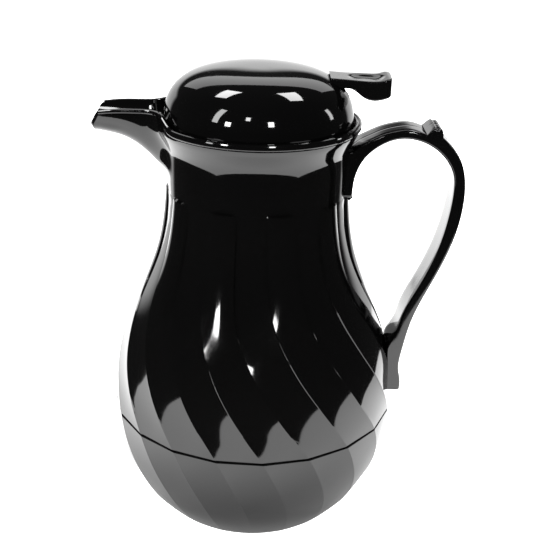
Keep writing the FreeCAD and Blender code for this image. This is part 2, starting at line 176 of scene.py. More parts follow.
pane("ceiling_left", (-0.31, 0.27, 0.90), 1.6, 0.56, 0.26, 6.5)
pane("ceiling_right", (0.33, 0.23, 0.90), 1.6, 0.62, 0.30, 7.5)
pane("ceiling_back", (0.0, 0.78, 0.64), 1.6, 1.9, 0.55, 5.0)
pane("window_left", (-0.55, -0.74, 0.32), 1.8, 0.20, 0.26, 6.0)
pane("window_right", (0.24, -0.88, 0.40), 1.8, 0.20, 0.34, 6.0)
pane("skylight_left", (-0.19, -0.80, 0.57), 1.8, 0.15, 0.26, 2.2)
pane("side_left", (-0.68, -0.50, 0.55), 1.8, 0.22, 1.0, 7.0)
pane("side_right", (0.94, 0.12, 0.32), 1.8, 0.16, 0.6, 2.4)


# ---- body shell: fluted belly, neck, rim and beak ------------------------
# One moulding in glossy black plastic. Ten raised petals start at arched ledges
# on the neck, swirl as they go down and flatten into facets over the belly.
SECTORS = 10
SECTOR = 36.0                    # degrees
PETAL = 18.2                     # degrees of a sector that its petal takes
PETAL_START = -30.0              # degrees from the front to a petal's left edge at the neck
SEAM_Z = 72.0
SEAM_HALF = 0.9                  # half of the gap that shows the gasket
LEDGE_Z = 198.5
PETAL_EDGE = 0.35                # degrees over which a petal's side wall rises
STRIP_TOP = 206.0                # the ring of petals ends and the plain neck starts


def curve_through(pairs):
    """Smooth function through points: a natural cubic spline."""
    x, y = np.array(sorted(pairs), float).T
    h = np.diff(x)
    count = len(x)
    system = np.eye(count)
    pull = np.zeros(count)
    for i in range(1, count - 1):
        system[i, i - 1:i + 2] = h[i - 1], 2 * (h[i - 1] + h[i]), h[i]
        pull[i] = 6 * ((y[i + 1] - y[i]) / h[i] - (y[i] - y[i - 1]) / h[i - 1])
    bend = np.linalg.solve(system, pull)

    def value(t):
        t = np.clip(t, x[0], x[-1])
        i = np.clip(np.searchsorted(x, t) - 1, 0, count - 2)
        a = x[i + 1] - t
        c = t - x[i]
        cubic = (bend[i] * a ** 3 + bend[i + 1] * c ** 3) / (6 * h[i])
        left = (y[i] / h[i] - bend[i] * h[i] / 6) * a
        right = (y[i + 1] / h[i] - bend[i + 1] * h[i] / 6) * c
        return cubic + left + right

    return value


def steps_through(pairs):
    """Piecewise straight function through points."""
    x, y = np.array(sorted(pairs), float).T
    return lambda t: np.interp(t, x, y)


body_r = curve_through([(2.8, 45.4), (7.2, 51.7), (13.7, 58.4), (22.3, 65.3), (33.2, 71.7), (45.0, 76.4),
                        (58.0, 79.4), (72.0, 80.4), (87.0, 79.7), (102.0, 77.7), (117.0, 73.6),
                        (132.0, 68.1), (147.5, 61.6), (163.0, 55.8), (180.0, 52.1), (199.0, 50.2),
                        (218.0, 49.0), (230.0, 48.8)])
swirl = curve_through([(0, 50.0), (34, 46.0), (60, 38.5), (73, 33.8), (83, 29.0), (95, 23.0), (105, 18.2),
                       (114, 14.0), (122, 10.6), (132, 6.7), (141, 3.8), (150, 1.9), (162, 0.6), (180, 0.0),
                       (210, 0.0)])
crown = steps_through([(80, 0.0), (110, 0.1), (135, 0.55), (160, 1.1), (185, 1.5), (LEDGE_Z, 1.7)])
wall = steps_through([(75, 0.0), (100, 0.2), (125, 0.5), (150, 0.8), (182, 0.85), (193, 0.5), (LEDGE_Z, 0.0)])
flat = steps_through([(2, 0.0), (15, 0.4), (32, 0.85), (55, 1.0), (115, 1.0), (140, 0.7), (170, 0.2),
                      (LEDGE_Z, 0.0)])
neck_r = curve_through([(190, 48.3), (199, 48.5), (206, 48.6), (214, 48.75), (219, 49.0), (223, 49.7),
                        (227.0, 51.2), (230.5, 52.8), (233.0, 53.9), (234.3, 54.3)])


def skin_point(s, z, lift=1.0):
    """Point of the fluted skin: degrees into a sector, height, share of the petal's rise."""
    half = PETAL / 2
    on_petal = PETAL_EDGE <= s <= PETAL - PETAL_EDGE
    rise = crown(z) + wall(z)
    base = body_r(z) - rise if z < LEDGE_Z else neck_r(z)
    offset = s - half if s <= PETAL else s - (PETAL + SECTOR) / 2
    chord = cos(radians(9.0)) / cos(radians(min(abs(offset), 9.1)))
    facet = 1 + flat(z) * (chord - 1)
    r = base * facet
    if on_petal and z <= LEDGE_Z:
        across = (s - half) / half
        r = (base + lift * wall(z)) * facet + lift * crown(z) * (1 - across ** 2)
    turn = radians(PETAL_START + s + swirl(z))
    return Vector((r * sin(turn), -r * cos(turn), z)) * MM


def sector_columns():
    """Degrees into a sector of the strip's columns, close together at the petal's edges."""
    edges = [0.0, PETAL_EDGE, 0.8]
    petal = list(np.linspace(1.8, PETAL - 1.8, 14))
    recess = list(np.linspace(PETAL + 1.2, SECTOR - 1.0, 15))
    return edges + petal + [PETAL - 0.8, PETAL - PETAL_EDGE, PETAL] + recess + [SECTOR]


def add_grid(shape, rows, wrap=False):
    """Quads through rows of points of the same length."""
    made = [[shape.verts.new(p) for p in row] for row in rows]
    columns = len(made[0])
    for lower, upper in zip(made, made[1:]):
        for i in range(columns if wrap else columns - 1):
            j = (i + 1) % columns
            shape.faces.new((lower[i], lower[j], upper[j], upper[i]))
    return made


def set_back(point, inward):
    """A point moved towards the axis."""
    flat_part = Vector((point.x, point.y, 0.0)).normalized() * inward * MM
    return point - flat_part


def upper_strip(shape):
    """One sector of the upper shell, from the plain neck down to the seam and its turned-in lip."""
    columns = sector_columns()
    slope = 0.35
    rows = []
    for z in (STRIP_TOP, 204.0, 202.6):
        rows.append([skin_point(s, z) for s in columns])
    edge_row = []
    for s in columns:
        across = (s - PETAL / 2) / (PETAL / 2)
        rise = crown(LEDGE_Z) * max(0.0, 1 - across ** 2)
        top = LEDGE_Z + 0.3 + slope * rise
        edge_row.append(skin_point(s, top))
    rows.append(edge_row)
    rows.append([skin_point(s, LEDGE_Z) for s in columns])
    for z in np.linspace(LEDGE_Z - 0.5, SEAM_Z + SEAM_HALF, 88):
        rows.append([skin_point(s, z) for s in columns])
    lowest = [skin_point(s, SEAM_Z + SEAM_HALF) for s in columns]
    rows.append([set_back(p, 0.15) + Vector((0, 0, -0.35 * MM)) for p in lowest])
    rows.append([set_back(p, 0.5) + Vector((0, 0, -0.5 * MM)) for p in lowest])
    rows.append([set_back(p, 2.4) + Vector((0, 0, -0.5 * MM)) for p in lowest])
    rows.append([set_back(p, 2.6) + Vector((0, 0, 12.0 * MM)) for p in lowest])
    add_grid(shape, rows)


def ring_of_sectors():
    """Node tree that turns one sector into the full ring and welds the joints."""
    tree = bpy.data.node_groups.new("ring_of_sectors", "GeometryNodeTree")
    face = tree.interface
    face.new_socket("Geometry", in_out="INPUT", socket_type="NodeSocketGeometry")
    count = face.new_socket("Sectors", in_out="INPUT", socket_type="NodeSocketInt")
    finish = face.new_socket("Finish", in_out="INPUT", socket_type="NodeSocketMaterial")
    face.new_socket("Geometry", in_out="OUTPUT", socket_type="NodeSocketGeometry")
    nodes, links = tree.nodes, tree.links
    given = nodes.new("NodeGroupInput")
    result = nodes.new("NodeGroupOutput")
    points = nodes.new("GeometryNodePoints")
    links.new(given.outputs["Sectors"], points.inputs["Count"])
    number = nodes.new("GeometryNodeInputIndex")
    share = nodes.new("ShaderNodeMath")
    share.operation = "DIVIDE"
    links.new(number.outputs["Index"], share.inputs[0])
    links.new(given.outputs["Sectors"], share.inputs[1])
    turn = nodes.new("ShaderNodeMath")
    turn.operation = "MULTIPLY"
    turn.inputs[1].default_value = 2 * pi
    links.new(share.outputs["Value"], turn.inputs[0])
    euler = nodes.new("ShaderNodeCombineXYZ")
    links.new(turn.outputs["Value"], euler.inputs["Z"])
    rotation = nodes.new("FunctionNodeEulerToRotation")
    links.new(euler.outputs["Vector"], rotation.inputs["Euler"])
    copies = nodes.new("GeometryNodeInstanceOnPoints")
    links.new(points.outputs["Points"], copies.inputs["Points"])
    links.new(given.outputs["Geometry"], copies.inputs["Instance"])
    links.new(rotation.outputs["Rotation"], copies.inputs["Rotation"])
    real = nodes.new("GeometryNodeRealizeInstances")
    links.new(copies.outputs["Instances"], real.inputs["Geometry"])
    weld = nodes.new("GeometryNodeMergeByDistance")
    weld.inputs["Distance"].default_value = 0.00001
    links.new(real.outputs["Geometry"], weld.inputs["Geometry"])
    paint = nodes.new("GeometryNodeSetMaterial")
    links.new(weld.outputs["Geometry"], paint.inputs["Geometry"])
    links.new(given.outputs["Finish"], paint.inputs["Material"])
    links.new(paint.outputs["Geometry"], result.inputs["Geometry"])
    return tree, count.identifier, finish.identifier


def gloss_plastic(name, seed, rough=0.045, ripple=0.04):
    """Polished black moulding: orange peel, hairline scratches, duller handled edges."""
    material, nodes, links = new_material(name)
    shader = nodes["Principled BSDF"]
    shader.inputs["IOR"].default_value = 1.55
    coords = nodes.new("ShaderNodeTexCoord")
    shift = nodes.new("ShaderNodeMapping")
    shift.inputs["Location"].default_value = (seed, seed * 0.7, seed * 0.3)
    links.new(coords.outputs["Object"], shift.inputs["Vector"])
    tone = nodes.new("ShaderNodeTexNoise")
    tone.inputs["Scale"].default_value = 14.0
    links.new(shift.outputs["Vector"], tone.inputs["Vector"])
    colour = nodes.new("ShaderNodeValToRGB")
    colour.color_ramp.elements[0].color = (0.0016, 0.0016, 0.0018, 1.0)
    colour.color_ramp.elements[1].color = (0.0036, 0.0035, 0.0034, 1.0)
    links.new(tone.outputs["Fac"], colour.inputs["Fac"])
    links.new(colour.outputs["Color"], shader.inputs["Base Color"])
    stretch = nodes.new("ShaderNodeMapping")
    stretch.inputs["Scale"].default_value = (260.0, 260.0, 4200.0)
    stretch.inputs["Rotation"].default_value = (0.5, 0.3, 0.2)
    links.new(shift.outputs["Vector"], stretch.inputs["Vector"])
    hairs = nodes.new("ShaderNodeTexNoise")
    hairs.inputs["Scale"].default_value = 1.0
    hairs.inputs["Detail"].default_value = 3.0
    links.new(stretch.outputs["Vector"], hairs.inputs["Vector"])
    scratch = nodes.new("ShaderNodeMapRange")
    scratch.inputs["From Min"].default_value = 0.6
    scratch.inputs["From Max"].default_value = 0.75
    scratch.inputs["To Max"].default_value = 0.05
    links.new(hairs.outputs["Fac"], scratch.inputs["Value"])
    smear = nodes.new("ShaderNodeTexNoise")
    smear.inputs["Scale"].default_value = 45.0
    smear.inputs["Detail"].default_value = 4.0
    links.new(shift.outputs["Vector"], smear.inputs["Vector"])
    haze = nodes.new("ShaderNodeMapRange")
    haze.inputs["From Min"].default_value = 0.35
    haze.inputs["From Max"].default_value = 0.75
    haze.inputs["To Min"].default_value = rough
    haze.inputs["To Max"].default_value = rough + 0.035
    links.new(smear.outputs["Fac"], haze.inputs["Value"])
    edge = nodes.new("ShaderNodeNewGeometry")
    worn = nodes.new("ShaderNodeMapRange")
    worn.inputs["From Min"].default_value = 0.54
    worn.inputs["From Max"].default_value = 0.62
    worn.inputs["To Max"].default_value = 0.06
    links.new(edge.outputs["Pointiness"], worn.inputs["Value"])
    first = nodes.new("ShaderNodeMath")
    links.new(scratch.outputs["Result"], first.inputs[0])
    links.new(haze.outputs["Result"], first.inputs[1])
    second = nodes.new("ShaderNodeMath")
    links.new(first.outputs["Value"], second.inputs[0])
    links.new(worn.outputs["Result"], second.inputs[1])
    links.new(second.outputs["Value"], shader.inputs["Roughness"])
    peel = nodes.new("ShaderNodeTexNoise")
    peel.inputs["Scale"].default_value = 70.0
    peel.inputs["Detail"].default_value = 1.0
    links.new(shift.outputs["Vector"], peel.inputs["Vector"])
    soft = nodes.new("ShaderNodeBump")
    soft.inputs["Strength"].default_value = ripple
    soft.inputs["Distance"].default_value = 0.001
    links.new(peel.outputs["Fac"], soft.inputs["Height"])
    fine = nodes.new("ShaderNodeBump")
    fine.inputs["Strength"].default_value = 0.05
    fine.inputs["Distance"].default_value = 0.00003
    links.new(hairs.outputs["Fac"], fine.inputs["Height"])
    links.new(soft.outputs["Normal"], fine.inputs["Normal"])
    links.new(fine.outputs["Normal"], shader.inputs["Normal"])
    return material


sector_tree, sectors_socket, finish_socket = ring_of_sectors()
shell_black = gloss_plastic("shell_gloss_black", 1.0)


def full_ring(name, build, material):
    """Object whose mesh is one sector repeated round the axis by the node tree."""
    shape = bmesh.new()
    build(shape)
    mesh = bpy.data.meshes.new(name)
    shape.to_mesh(mesh)
    shape.free()
    piece = link_object(name, mesh)
    step = piece.modifiers.new("ring", "NODES")
    step.node_group = sector_tree
    step[sectors_socket] = SECTORS
    step[finish_socket] = material
    ready = piece.evaluated_get(bpy.context.evaluated_depsgraph_get())
    whole = bpy.data.meshes.new_from_object(ready)
    piece.modifiers.remove(step)
    piece.data = whole
    return piece


def finish_mesh(piece, shape, sharp_degrees, material):
    """Welds, turns faces outward, marks the sharp edges and gives the material."""
    bmesh.ops.remove_doubles(shape, verts=shape.verts, dist=0.00001)
    bmesh.ops.recalc_face_normals(shape, faces=shape.faces)
    for face in shape.faces:
        face.smooth = True
        face.material_index = 0
    for edge in shape.edges:
        if edge.is_manifold and edge.calc_face_angle(0.0) > radians(sharp_degrees):
            edge.smooth = False
    shape.to_mesh(piece.data)
    shape.free()
    piece.data.materials.clear()
    piece.data.materials.append(material)


# beak: a gutter that grows out of the neck, in plan and height
SPOUT_HALF = 12.0
BLEND = 9.0
FREE_SIDE = 40.0                 # degrees each side of the spout that its flare may use
MOUTH_SIDE = 27.0                # degrees each side of it that open into the beak's trough
TROUGH_WALL = 2.2
NOSE_Z = 229.6                   # underside of the beak's tip
NOSE_SHARE = 0.68                # share of a column's height that lies below the nose
NOSE_COUNT = 13                  # points of a column from the nose up
keel_z = curve_through([(40.0, 188.0), (46.0, 199.5), (50.0, 206.5), (54.0, 212.2), (58.5, 217.0),
                        (63.4, 221.4), (68.6, 224.8), (73.9, 227.2), (79.2, 228.4), (86.1, NOSE_Z)])
LIP_Z = 243.2
front_x = steps_through([(NOSE_Z, 86.1), (230.4, 86.8), (231.6, 87.2), (233.3, 87.2), (235.2, 86.4),
                         (237.5, 85.1), (239.7, 84.0), (241.0, 83.0), (242.1, 81.7), (243.4, 79.0)])


def beak_field(out, side, z):
    """Negative inside the neck and the beak, which run smoothly into each other."""
    to_neck = np.hypot(out, side) - neck_r(z)
    deep = np.maximum(LIP_Z - keel_z(out), 1.0)
    below = np.maximum(LIP_Z - z, 0.0) * SPOUT_HALF / deep
    to_beak = np.hypot(side, below) - SPOUT_HALF
    mix = np.clip(0.5 + 0.5 * (to_beak - to_neck) / BLEND, 0.0, 1.0)
    return to_beak * (1 - mix) + to_neck * mix - BLEND * mix * (1 - mix)


def zero_between(low, high, value):
    """Halving search for the sign change of a rising function."""
    for _ in range(40):
        middle = (low + high) / 2
        inside = value(middle) < 0
        low = np.where(inside, middle, low)
        high = np.where(inside, high, middle)
    return (low + high) / 2


def level_outline(z, count):
    """Half outline of neck and beak at one height: from the free side to the tip."""
    start = neck_r(z) * cos(radians(FREE_SIDE))
    limit = front_x(z) if z > NOSE_Z else 95.0
    tip = float(zero_between(np.array(40.0), np.array(95.0), lambda x: beak_field(x, 0.0, z)))
    tip = min(tip, float(limit))
    spread = np.linspace(1.0, 0.0, 240) ** 2
    out = tip - (tip - start) * spread
    side = zero_between(np.zeros(240), np.full(240, 60.0), lambda y: beak_field(out, y, z))
    if z <= NOSE_Z:
        side[-1] = 0.0
    run = np.concatenate([[0.0], np.cumsum(np.hypot(np.diff(out), np.diff(side)))])
    want = np.linspace(0.0, run[-1], count)
    return np.stack([np.interp(want, run, out), np.interp(want, run, side)], axis=1)


def smooth_step(t):
    t = np.clip(t, 0.0, 1.0)
    return t * t * (3 - 2 * t)


def lip_levels(f):
    """Height of the wall's top and of the band on it, from the neck (0) to the tip (1)."""
    climb = smooth_step((f - 0.03) / 0.37)
    droop = 1.1 * max(0.0, (f - 0.72) / 0.28) ** 2
    wall_top = 234.2 + 6.7 * climb - droop * 0.75
    band = 4.1 - 1.2 * climb - droop * 0.35
    return wall_top, band


BAND = [(0.0, 0.0), (-0.35, 0.12), (-0.45, 0.3), (-0.1, 0.45), (0.55, 0.62), (0.95, 0.95), (1.1, 1.4),
        (1.05, 2.0)]


def band_profile(height):
    """Outline of the rim bead: groove, bead and level top, outward and up from the wall's edge."""
    top = [(1.0, height * 0.72), (0.8, height * 0.86), (0.4, height * 0.95), (-0.2, height),
           (-0.8, height), (-1.35, height - 0.16), (-1.8, height - 0.6)]
    return BAND[:-1] + [(1.08, min(2.0, height * 0.6))] + top


def ring_angles():
    """Angles of the strip's columns round the whole neck, in degrees from the front."""
    columns = sector_columns()[:-1]
    return [PETAL_START + SECTOR * k + s for k in range(SECTORS) for s in columns]


def neck_and_beak():
    """Neck from the strip's top row to the rim, with the beak, its lip band and its trough."""
    levels = np.linspace(STRIP_TOP, 242.0, 64)
    outlines = np.array([level_outline(z, 161) for z in levels])
    low_rows = np.linspace(0.0, NOSE_SHARE, 22)
    nose_rows = np.linspace(NOSE_SHARE, 1.0, NOSE_COUNT)
    columns = []
    for angle in ring_angles():
        from_spout = (angle + 90.0 + 180.0) % 360.0 - 180.0      # positive on the near side
        columns.append(from_spout)
    columns.sort()
    tip = int(np.argmin(np.abs(columns)))
    near = columns[tip + 1:]
    far = [-c for c in columns[:tip][::-1]]
    halves = []
    for sign, side_columns in ((-1, near), (1, far)):
        made = []
        for place in [0.0] + side_columns:
            made.append(beak_column(place, sign, levels, outlines, low_rows, nose_rows))
        halves.append(made)
    return halves, columns[tip]


def beak_column(place, sign, levels, outlines, low_rows, nose_rows):
    """Points up one column: degrees from the spout's middle and the side (-1 near, 1 far)."""
    free = place < FREE_SIDE
    f = 1 - place / FREE_SIDE if free else 0.0
    wall_top, band = lip_levels(f)
    nose_share = (NOSE_Z - STRIP_TOP) / (wall_top - STRIP_TOP) if f > 0.999 else NOSE_SHARE
    above = (nose_rows[1:] - NOSE_SHARE) * (1 - nose_share) / (1 - NOSE_SHARE)
    shares = np.concatenate([low_rows * nose_share / NOSE_SHARE, nose_share + above])
    points = []
    for share in shares:
        z = STRIP_TOP + share * (wall_top - STRIP_TOP)
        if free:
            level = (z - levels[0]) / (levels[1] - levels[0])
            i = min(int(level), len(levels) - 2)
            fine = outlines.shape[1]
            at = f * (fine - 1)
            j = min(int(at), fine - 2)
            low = outlines[i, j] * (1 - at + j) + outlines[i, j + 1] * (at - j)
            high = outlines[i + 1, j] * (1 - at + j) + outlines[i + 1, j + 1] * (at - j)
            out, side = low * (1 - level + i) + high * (level - i)
            r = float(neck_r(z))
            grown = float(smooth_step((z - STRIP_TOP) / 9.0))
            out = out * grown + r * cos(radians(place)) * (1 - grown)
            side = side * grown + r * sin(radians(place)) * (1 - grown)
            if f > 0.999 and z <= NOSE_Z + 0.01:
                side = 0.0
        else:
            r = float(neck_r(z))
            out, side = r * cos(radians(place)), r * sin(radians(place))
        points.append(Vector((-out, sign * side, z)))
    return {"f": f, "place": place, "band": band, "points": points}


def add_band(made, sign):
    """Adds the rim bead's points to each column, square to the rim in plan."""
    for i, column in enumerate(made):
        here = column["points"][-1]
        before = made[max(0, i - 1)]["points"][-1]
        after = made[min(len(made) - 1, i + 1)]["points"][-1]
        along = Vector((after.x - before.x, after.y - before.y, 0.0)).normalized()
        outward = Vector((along.y, -along.x, 0.0)) * -sign
        if outward.dot(Vector((here.x * 0.2, here.y, 0.0))) < 0:
            outward = -outward
        if column["place"] > 179.0:
            outward = Vector((1.0, 0.0, 0.0))
        column["rim"] = [here + outward * a + Vector((0, 0, b)) for a, b in band_profile(column["band"])[1:]]


# radius and height down the inside of the neck: the lid's seat, then the bore
BORE = [(52.3, 237.6), (52.0, 236.8), (51.9, 235.5), (51.9, 234.2), (51.8, 233.6), (51.3, 233.4),
        (49.5, 233.4), (47.5, 233.4), (46.4, 233.4), (46.1, 233.2), (46.0, 232.6), (46.0, 226.0)]


def add_inside(made):
    """Seat and bore inside the neck, and the beak's trough as scaled copies of its front edge."""
    edge = made[0]["points"][-NOSE_COUNT:]
    floor = NOSE_Z + TROUGH_WALL
    scale = 1 - TROUGH_WALL / SPOUT_HALF
    section = [(abs(p.y) * scale, LIP_Z - max(0.0, LIP_Z - p.z) * scale) for p in edge]
    section = [(s / section[-1][0], (z - floor) / (section[-1][1] - floor)) for s, z in section]
    for column in made:
        lip = column["rim"][-1]
        inside = []
        if column["place"] < MOUTH_SIDE:
            away = -lip.x
            ground = floor - 2.4 * min(1.0, max(0.0, (84.0 - away) / 30.0))
            lean = smooth_step((away - 56.0) / 25.0)
            for share, rise in reversed(section):
                z = ground + (lip.z - ground) * rise
                slant = float(front_x(max(z - 0.4, NOSE_Z + 1.2)) - front_x(lip.z)) * float(lean)
                inside.append(Vector((lip.x - slant, lip.y * share, z)))
            inside[0] = lip.copy()
        else:
            direction = Vector((lip.x, lip.y, 0.0)).normalized()
            inside.append(lip.copy())
            for r, z in BORE:
                inside.append(direction * r + Vector((0, 0, z)))
        column["inside"] = inside


upper = full_ring("upper_shell_skin", upper_strip, shell_black)
shell_shape = bmesh.new()
shell_shape.from_mesh(upper.data)
(near_half, far_half), tip_angle = neck_and_beak()
for sign, made in ((-1, near_half), (1, far_half)):
    add_band(made, sign)
    add_inside(made)
# lowest row of every column takes the strip's own column angle, so that the two weld
for sign, made in ((-1, near_half), (1, far_half)):
    for column in made:
        angle = radians(column["place"] if column["place"] > 0 else tip_angle * -sign)
        r = float(neck_r(STRIP_TOP))
        column["points"][0] = Vector((-r * cos(angle), sign * r * sin(angle), STRIP_TOP))


def add_half(shape, made):
    """Faces of one half: outer wall, rim band, inside, and the beak's front edge."""
    outer = [[p * MM for p in c["points"] + c["rim"]] for c in made]
    add_grid(shape, outer)
    add_grid(shape, [[p * MM for p in c["inside"]] for c in made])
    tip = made[0]
    outer_edge = tip["points"][-NOSE_COUNT:]
    inner_edge = tip["inside"][::-1]
    add_grid(shape, [[p * MM for p in outer_edge], [p * MM for p in inner_edge]])
    corner = [outer_edge[-1]] + tip["rim"]
    shape.faces.new([shape.verts.new(p * MM) for p in corner])


for made in (near_half, far_half):
    add_half(shell_shape, made)
last_near, last_far = near_half[-1], far_half[-1]
bridge = [[p * MM for p in c["points"] + c["rim"] + c["inside"][1:]] for c in (last_near, last_far)]
add_grid(shell_shape, bridge)
finish_mesh(upper, shell_shape, 13.0, shell_black)
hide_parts("upper_shell")
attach(upper, "server")


# ---- lower bowl -----------------------------------------------------------
# The second moulding, spun-welded under the seam. Its facets carry on the petals
# of the shell above, then fade into a plain round foot.
def bowl_strip(shape):
    """One sector of the bowl, from its turned-in lip at the seam down to the foot ring."""
    columns = sector_columns()
    top_z = SEAM_Z - SEAM_HALF
    highest = [skin_point(s, top_z) for s in columns]
    rows = []
    rows.append([set_back(p, 2.6) + Vector((0, 0, -12.0 * MM)) for p in highest])
    rows.append([set_back(p, 2.4) + Vector((0, 0, 0.5 * MM)) for p in highest])
    rows.append([set_back(p, 0.5) + Vector((0, 0, 0.5 * MM)) for p in highest])
    rows.append([set_back(p, 0.15) + Vector((0, 0, 0.35 * MM)) for p in highest])
    for z in np.linspace(top_z, 2.9, 46):
        rows.append([skin_point(s, z) for s in columns])
    foot = [(43.0, 1.2), (41.4, 0.45), (39.8, 0.08), (38.5, 0.0), (37.2, 0.0), (36.6, 0.2), (36.4, 0.7),
            (36.4, 1.8), (30.0, 1.9)]
    for r, z in foot:
        turns = [radians(PETAL_START + s + swirl(z)) for s in columns]
        rows.append([Vector((r * sin(t), -r * cos(t), z)) * MM for t in turns])
    add_grid(shape, rows)


bowl_black = gloss_plastic("bowl_gloss_black", 2.3)
bowl = full_ring("lower_bowl_skin", bowl_strip, bowl_black)
bowl_shape = bmesh.new()
bowl_shape.from_mesh(bowl.data)
finish_mesh(bowl, bowl_shape, 13.0, bowl_black)
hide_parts("lower_bowl")
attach(bowl, "server")


# ---- lid dome -------------------------------------------------------------
# A boxy dome turned from one superellipse, 2.4 thick, with a square-cut slot on
# the handle side that the lever comes out of.
DOME_R = 51.2
DOME_CENTRE_Z = 229.3
DOME_RISE = 36.0
DOME_POWER = 3.2


def dome_profile(inset, base_z, steps):
    """Radius and height up the dome's quarter outline, moved inward by the inset."""
    rise = DOME_RISE - inset
    first = asin(((base_z - DOME_CENTRE_Z) / rise) ** (DOME_POWER / 2))
    points = []
    for t in np.linspace(first, pi / 2, steps):
        r = (DOME_R - inset) * max(0.0, cos(t)) ** (2 / DOME_POWER)
        points.append((r, DOME_CENTRE_Z + rise * sin(t) ** (2 / DOME_POWER)))
    points[-1] = (0.0, DOME_CENTRE_Z + rise)
    return points


def turn_profile(shape, profile, steps):
    """Turns (radius, height) points once round the axis, with closed poles."""
    rows = []
    for r, z in profile:
        turns = [2 * pi * i / steps for i in range(steps)]
        rows.append([Vector((r * sin(t), -r * cos(t), z)) * MM for t in turns])
    add_grid(shape, rows, wrap=True)
    bmesh.ops.remove_doubles(shape, verts=shape.verts, dist=0.000004)


dome_shape = bmesh.new()
outside = dome_profile(0.0, 234.4, 56)
inside = dome_profile(2.4, 234.4, 40)
lip = [(inside[0][0], 233.9), (DOME_R - 0.35, 233.9), (DOME_R - 0.05, 234.1)]
turn_profile(dome_shape, inside[::-1] + lip + outside, 160)
bmesh.ops.recalc_face_normals(dome_shape, faces=dome_shape.faces)
dome_mesh = bpy.data.meshes.new("lid_dome_skin")
dome_shape.to_mesh(dome_mesh)
dome_shape.free()
dome = link_object("lid_dome_skin", dome_mesh)
slot_shape = bmesh.new()
bmesh.ops.create_cube(slot_shape, size=1.0)
for v in slot_shape.verts:
    v.co = Vector((49.3 + v.co.x * 25.4, v.co.y * 20.8, 260.0 + v.co.z * 17.2)) * MM
bmesh.ops.bevel(slot_shape, geom=list(slot_shape.edges), offset=0.0012, segments=3, affect="EDGES")
slot_mesh = bpy.data.meshes.new("slot_cutter")
slot_shape.to_mesh(slot_mesh)
slot_shape.free()
cutter = link_object("slot_cutter", slot_mesh)
cut = dome.modifiers.new("slot", "BOOLEAN")
cut.object = cutter
cut.operation = "DIFFERENCE"
cut.solver = "EXACT"
ready = dome.evaluated_get(bpy.context.evaluated_depsgraph_get())
cut_mesh = bpy.data.meshes.new_from_object(ready)
dome.modifiers.remove(cut)
dome.data = cut_mesh
bpy.data.objects.remove(cutter)
dome_black = gloss_plastic("dome_gloss_black", 4.1, 0.035, 0.025)
dome_shape = bmesh.new()
dome_shape.from_mesh(dome.data)
finish_mesh(dome, dome_shape, 32.0, dome_black)
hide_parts("lid_dome")
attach(dome, "lid")


# ---- thumb lever ----------------------------------------------------------
# A moulded lever: a pad with a raised rim round an oval thumb dimple, an arm
# through the slot, a hub on the steel pin and a two-pronged fork for the stem.
PAD_HALF = 11.0
ARM_HALF = 9.7
lever_top = curve_through([(37.1, 261.9), (44.0, 261.5), (52.0, 261.1), (59.5, 260.9), (64.5, 261.4),
                           (67.4, 262.2), (69.2, 262.2)])
lever_bottom = curve_through([(37.0, 254.4), (43.0, 256.5), (49.4, 256.0), (53.6, 253.0), (57.6, 251.1),
                              (61.0, 250.8), (66.0, 251.8), (69.2, 252.8)])


def lever_section(x):
    """Closed outline across the lever at one distance from the axis."""
    end = 69.2
    round_end = 4.2
    half = ARM_HALF + (PAD_HALF - ARM_HALF) * float(smooth_step((x - 43.0) / 15.0))
    if x > end - round_end:
        reach_in = (x - (end - round_end)) / round_end
        half -= 3.6 * (1 - (max(0.0, 1 - reach_in ** 2)) ** 0.5)
    high, low = float(lever_top(x)), float(lever_bottom(x))
    edge = 0.9
    across = np.linspace(-1.0, 1.0, 25)
    points = []
    for a in across:
        y = a * (half - edge)
        dish = 1 - ((x - 56.2) / 10.2) ** 2 - (y / 8.4) ** 2
        points.append((y, high - 1.3 * float(smooth_step(dish / 0.9))))
    for t in np.linspace(pi / 2, 0.0, 5)[1:]:
        points.append((half - edge + edge * cos(t), high - edge + edge * sin(t)))
    for t in np.linspace(0.0, -pi / 2, 5):
        points.append((half - edge + edge * cos(t), low + edge + edge * sin(t)))
    for a in across[::-1][1:-1]:
        points.append((a * (half - edge), low))
    for t in np.linspace(-pi / 2, -pi, 5):
        points.append((-half + edge + edge * cos(t), low + edge + edge * sin(t)))
    for t in np.linspace(pi, pi / 2, 5)[:-1]:
        points.append((-half + edge + edge * cos(t), high - edge + edge * sin(t)))
    return [Vector((x, y, z)) * MM for y, z in points]


lever_shape = bmesh.new()
stations = list(np.linspace(37.1, 64.6, 56)) + [69.2 - 4.4 * cos(t) for t in np.linspace(0.1, pi / 2, 14)]
lever_rows = [lever_section(x) for x in stations]
made_rows = add_grid(lever_shape, lever_rows, wrap=True)
lever_shape.faces.new(made_rows[0])
lever_shape.faces.new(made_rows[-1])


def rounded_block(shape, low, high, edge):
    """Moulded block between two corners with rounded edges."""
    made = bmesh.ops.create_cube(shape, size=1.0)["verts"]
    low, high = Vector(low), Vector(high)
    for v in made:
        v.co = Vector([(low[i] + high[i]) / 2 + v.co[i] * (high[i] - low[i]) for i in range(3)]) * MM
    edges = list({e for v in made for e in v.link_edges})
    bmesh.ops.bevel(shape, geom=edges, offset=edge * MM, segments=3, affect="EDGES")


def cross_rod(shape, radius, y0, y1, x, z, edge=0.4):
    """Round bar along Y with chamfered ends."""
    rows = []
    for y, r in ((y0, 0.0), (y0, radius - edge), (y0 + edge, radius), (y1 - edge, radius),
                 (y1, radius - edge), (y1, 0.0)):
        turns = [2 * pi * i / 40 for i in range(40)]
        rows.append([Vector((x + r * cos(t), y, z + r * sin(t))) * MM for t in turns])
    add_grid(shape, rows, wrap=True)


